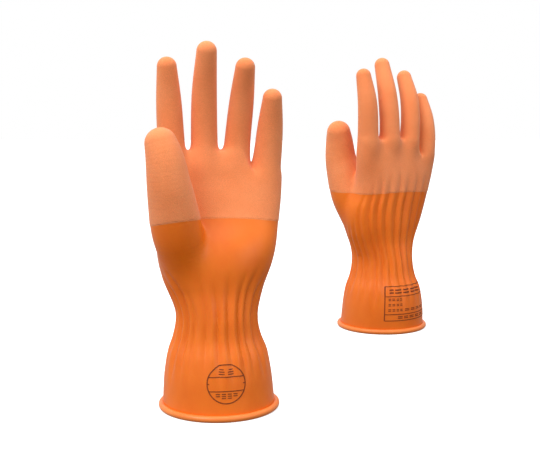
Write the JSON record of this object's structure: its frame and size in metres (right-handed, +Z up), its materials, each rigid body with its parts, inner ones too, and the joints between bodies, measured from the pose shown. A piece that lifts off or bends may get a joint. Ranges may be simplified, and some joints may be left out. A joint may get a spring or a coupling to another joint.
{
  "type": "electrical insulating gloves",
  "caption": "Pair of dipped rubber insulating gloves standing on rolled cuff rims, with gathered wrists, grip-coated hands and bending digits.",
  "frame": {"origin": "on the floor under the middle of the pair's bounding box", "axes": "+Z up along the gloves; -Y is the side that the left glove's palm faces, turned 10 degrees; the right glove stands towards +X and +Y"},
  "size_m": [0.2794, 0.3968, 0.2954],
  "materials": {
    "smooth_rubber": "semi-gloss",
    "bead_rubber": "semi-gloss",
    "grip_coat": "matte, fine grain",
    "stamp_ink": "matte print"
  },
  "bodies": {
    "left_cuff_body": {"left_cuff": "smooth_rubber", "left_cuff_bead": "bead_rubber", "left_wrist_gathers": "smooth_rubber", "left_inspection_stamp": "stamp_ink"},
    "left_hand": {"left_palm_heel": "smooth_rubber", "left_palm": "smooth_rubber", "left_palm_grip": "grip_coat", "left_thumb_root_flex": "grip_coat", "left_index_root_flex": "grip_coat", "left_middle_root_flex": "grip_coat", "left_ring_root_flex": "grip_coat", "left_little_root_flex": "grip_coat"},
    "left_thumb_lower": {"left_thumb_base": "grip_coat", "left_thumb_mid_flex": "grip_coat"},
    "left_thumb_upper": {"left_thumb_tip": "grip_coat"},
    "left_index_lower": {"left_index_base": "grip_coat", "left_index_mid_flex": "grip_coat"},
    "left_index_upper": {"left_index_tip": "grip_coat"},
    "left_middle_lower": {"left_middle_base": "grip_coat", "left_middle_mid_flex": "grip_coat"},
    "left_middle_upper": {"left_middle_tip": "grip_coat"},
    "left_ring_lower": {"left_ring_base": "grip_coat", "left_ring_mid_flex": "grip_coat"},
    "left_ring_upper": {"left_ring_tip": "grip_coat"},
    "left_little_lower": {"left_little_base": "grip_coat", "left_little_mid_flex": "grip_coat"},
    "left_little_upper": {"left_little_tip": "grip_coat"},
    "right_cuff_body": {"right_cuff": "smooth_rubber", "right_cuff_bead": "bead_rubber", "right_wrist_gathers": "smooth_rubber", "right_rating_table": "stamp_ink"},
    "right_hand": {"right_palm_heel": "smooth_rubber", "right_palm": "smooth_rubber", "right_palm_grip": "grip_coat", "right_thumb_root_flex": "grip_coat", "right_index_root_flex": "grip_coat", "right_middle_root_flex": "grip_coat", "right_ring_root_flex": "grip_coat", "right_little_root_flex": "grip_coat"},
    "right_thumb_lower": {"right_thumb_base": "grip_coat", "right_thumb_mid_flex": "grip_coat"},
    "right_thumb_upper": {"right_thumb_tip": "grip_coat"},
    "right_index_lower": {"right_index_base": "grip_coat", "right_index_mid_flex": "grip_coat"},
    "right_index_upper": {"right_index_tip": "grip_coat"},
    "right_middle_lower": {"right_middle_base": "grip_coat", "right_middle_mid_flex": "grip_coat"},
    "right_middle_upper": {"right_middle_tip": "grip_coat"},
    "right_ring_lower": {"right_ring_base": "grip_coat", "right_ring_mid_flex": "grip_coat"},
    "right_ring_upper": {"right_ring_tip": "grip_coat"},
    "right_little_lower": {"right_little_base": "grip_coat", "right_little_mid_flex": "grip_coat"},
    "right_little_upper": {"right_little_tip": "grip_coat"}
  },
  "joints": [
    {"name": "right_glove_lift", "type": "slide", "parent": "left_cuff_body", "child": "right_cuff_body", "axis": [0, 0, 1], "range_m": [0, 0.35]},
    {"name": "left_wrist", "type": "hinge", "parent": "left_cuff_body", "child": "left_hand", "pos_m": [-0.08622, -0.14823, 0.076], "axis": [0.9848, 0.1736, 0], "range_deg": [-30, 30], "stiffness_Nm_per_rad": 1.2, "deforming": ["left_wrist_gathers"]},
    {"name": "left_thumb_root", "type": "hinge", "parent": "left_hand", "child": "left_thumb_lower", "pos_m": [-0.12108, -0.17915, 0.185], "axis": [-0.342, -0.9397, 0], "range_deg": [-30, 20], "stiffness_Nm_per_rad": 0.08, "deforming": ["left_thumb_root_flex"]},
    {"name": "left_thumb_middle", "type": "hinge", "parent": "left_thumb_lower", "child": "left_thumb_upper", "pos_m": [-0.12451, -0.17874, 0.2068], "axis": [-0.342, -0.9397, 0], "range_deg": [-35, 0], "stiffness_Nm_per_rad": 0.06, "deforming": ["left_thumb_mid_flex"]},
    {"name": "left_index_root", "type": "hinge", "parent": "left_hand", "child": "left_index_lower", "pos_m": [-0.12296, -0.13856, 0.2165], "axis": [0.9848, 0.1736, 0], "range_deg": [-10, 50], "stiffness_Nm_per_rad": 0.08, "deforming": ["left_index_root_flex"]},
    {"name": "left_index_middle", "type": "hinge", "parent": "left_index_lower", "child": "left_index_upper", "pos_m": [-0.12432, -0.1389, 0.2485], "axis": [0.9848, 0.1736, 0], "range_deg": [0, 60], "stiffness_Nm_per_rad": 0.06, "deforming": ["left_index_mid_flex"]},
    {"name": "left_middle_root", "type": "hinge", "parent": "left_hand", "child": "left_middle_lower", "pos_m": [-0.09655, -0.13116, 0.217], "axis": [0.9848, 0.1736, 0], "range_deg": [-10, 50], "stiffness_Nm_per_rad": 0.08, "deforming": ["left_middle_root_flex"]},
    {"name": "left_middle_middle", "type": "hinge", "parent": "left_middle_lower", "child": "left_middle_upper", "pos_m": [-0.09588, -0.13551, 0.255], "axis": [0.9848, 0.1736, 0], "range_deg": [0, 60], "stiffness_Nm_per_rad": 0.06, "deforming": ["left_middle_mid_flex"]},
    {"name": "left_ring_root", "type": "hinge", "parent": "left_hand", "child": "left_ring_lower", "pos_m": [-0.06967, -0.1252, 0.2165], "axis": [0.9848, 0.1736, 0], "range_deg": [-10, 50], "stiffness_Nm_per_rad": 0.08, "deforming": ["left_ring_root_flex"]},
    {"name": "left_ring_middle", "type": "hinge", "parent": "left_ring_lower", "child": "left_ring_upper", "pos_m": [-0.06581, -0.1298, 0.25], "axis": [0.9848, 0.1736, 0], "range_deg": [0, 60], "stiffness_Nm_per_rad": 0.06, "deforming": ["left_ring_mid_flex"]},
    {"name": "left_little_root", "type": "hinge", "parent": "left_hand", "child": "left_little_lower", "pos_m": [-0.04489, -0.12408, 0.203], "axis": [0.9848, 0.1736, 0], "range_deg": [-10, 50], "stiffness_Nm_per_rad": 0.08, "deforming": ["left_little_root_flex"]},
    {"name": "left_little_middle", "type": "hinge", "parent": "left_little_lower", "child": "left_little_upper", "pos_m": [-0.04256, -0.12753, 0.23], "axis": [0.9848, 0.1736, 0], "range_deg": [0, 60], "stiffness_Nm_per_rad": 0.06, "deforming": ["left_little_mid_flex"]},
    {"name": "right_wrist", "type": "hinge", "parent": "right_cuff_body", "child": "right_hand", "pos_m": [0.08144, 0.14746, 0.076], "axis": [-0.8387, -0.5446, 0], "range_deg": [-30, 30], "stiffness_Nm_per_rad": 1.2, "deforming": ["right_wrist_gathers"]},
    {"name": "right_thumb_root", "type": "hinge", "parent": "right_hand", "child": "right_thumb_lower", "pos_m": [0.03486, 0.1463, 0.185], "axis": [0.891, -0.454, 0], "range_deg": [-30, 20], "stiffness_Nm_per_rad": 0.08, "deforming": ["right_thumb_root_flex"]},
    {"name": "right_thumb_middle", "type": "hinge", "parent": "right_thumb_lower", "child": "right_thumb_upper", "pos_m": [0.03264, 0.14366, 0.2068], "axis": [0.891, -0.454, 0], "range_deg": [-35, 0], "stiffness_Nm_per_rad": 0.06, "deforming": ["right_thumb_mid_flex"]},
    {"name": "right_index_root", "type": "hinge", "parent": "right_hand", "child": "right_index_lower", "pos_m": [0.06117, 0.11533, 0.2165], "axis": [-0.8387, -0.5446, 0], "range_deg": [-10, 50], "stiffness_Nm_per_rad": 0.08, "deforming": ["right_index_root_flex"]},
    {"name": "right_index_middle", "type": "hinge", "parent": "right_index_lower", "child": "right_index_upper", "pos_m": [0.05994, 0.11466, 0.2485], "axis": [-0.8387, -0.5446, 0], "range_deg": [0, 60], "stiffness_Nm_per_rad": 0.06, "deforming": ["right_index_mid_flex"]},
    {"name": "right_middle_root", "type": "hinge", "parent": "right_hand", "child": "right_middle_lower", "pos_m": [0.08554, 0.12794, 0.217], "axis": [-0.8387, -0.5446, 0], "range_deg": [-10, 50], "stiffness_Nm_per_rad": 0.08, "deforming": ["right_middle_root_flex"]},
    {"name": "right_middle_middle", "type": "hinge", "parent": "right_middle_lower", "child": "right_middle_upper", "pos_m": [0.08306, 0.13157, 0.255], "axis": [-0.8387, -0.5446, 0], "range_deg": [0, 60], "stiffness_Nm_per_rad": 0.06, "deforming": ["right_middle_mid_flex"]},
    {"name": "right_ring_root", "type": "hinge", "parent": "right_hand", "child": "right_ring_lower", "pos_m": [0.10925, 0.14191, 0.2165], "axis": [-0.8387, -0.5446, 0], "range_deg": [-10, 50], "stiffness_Nm_per_rad": 0.08, "deforming": ["right_ring_root_flex"]},
    {"name": "right_ring_middle", "type": "hinge", "parent": "right_ring_lower", "child": "right_ring_upper", "pos_m": [0.10894, 0.1479, 0.25], "axis": [-0.8387, -0.5446, 0], "range_deg": [0, 60], "stiffness_Nm_per_rad": 0.06, "deforming": ["right_ring_mid_flex"]},
    {"name": "right_little_root", "type": "hinge", "parent": "right_hand", "child": "right_little_lower", "pos_m": [0.12814, 0.15799, 0.203], "axis": [-0.8387, -0.5446, 0], "range_deg": [-10, 50], "stiffness_Nm_per_rad": 0.08, "deforming": ["right_little_root_flex"]},
    {"name": "right_little_middle", "type": "hinge", "parent": "right_little_lower", "child": "right_little_upper", "pos_m": [0.1275, 0.1621, 0.23], "axis": [-0.8387, -0.5446, 0], "range_deg": [0, 60], "stiffness_Nm_per_rad": 0.06, "deforming": ["right_little_mid_flex"]}
  ]
}
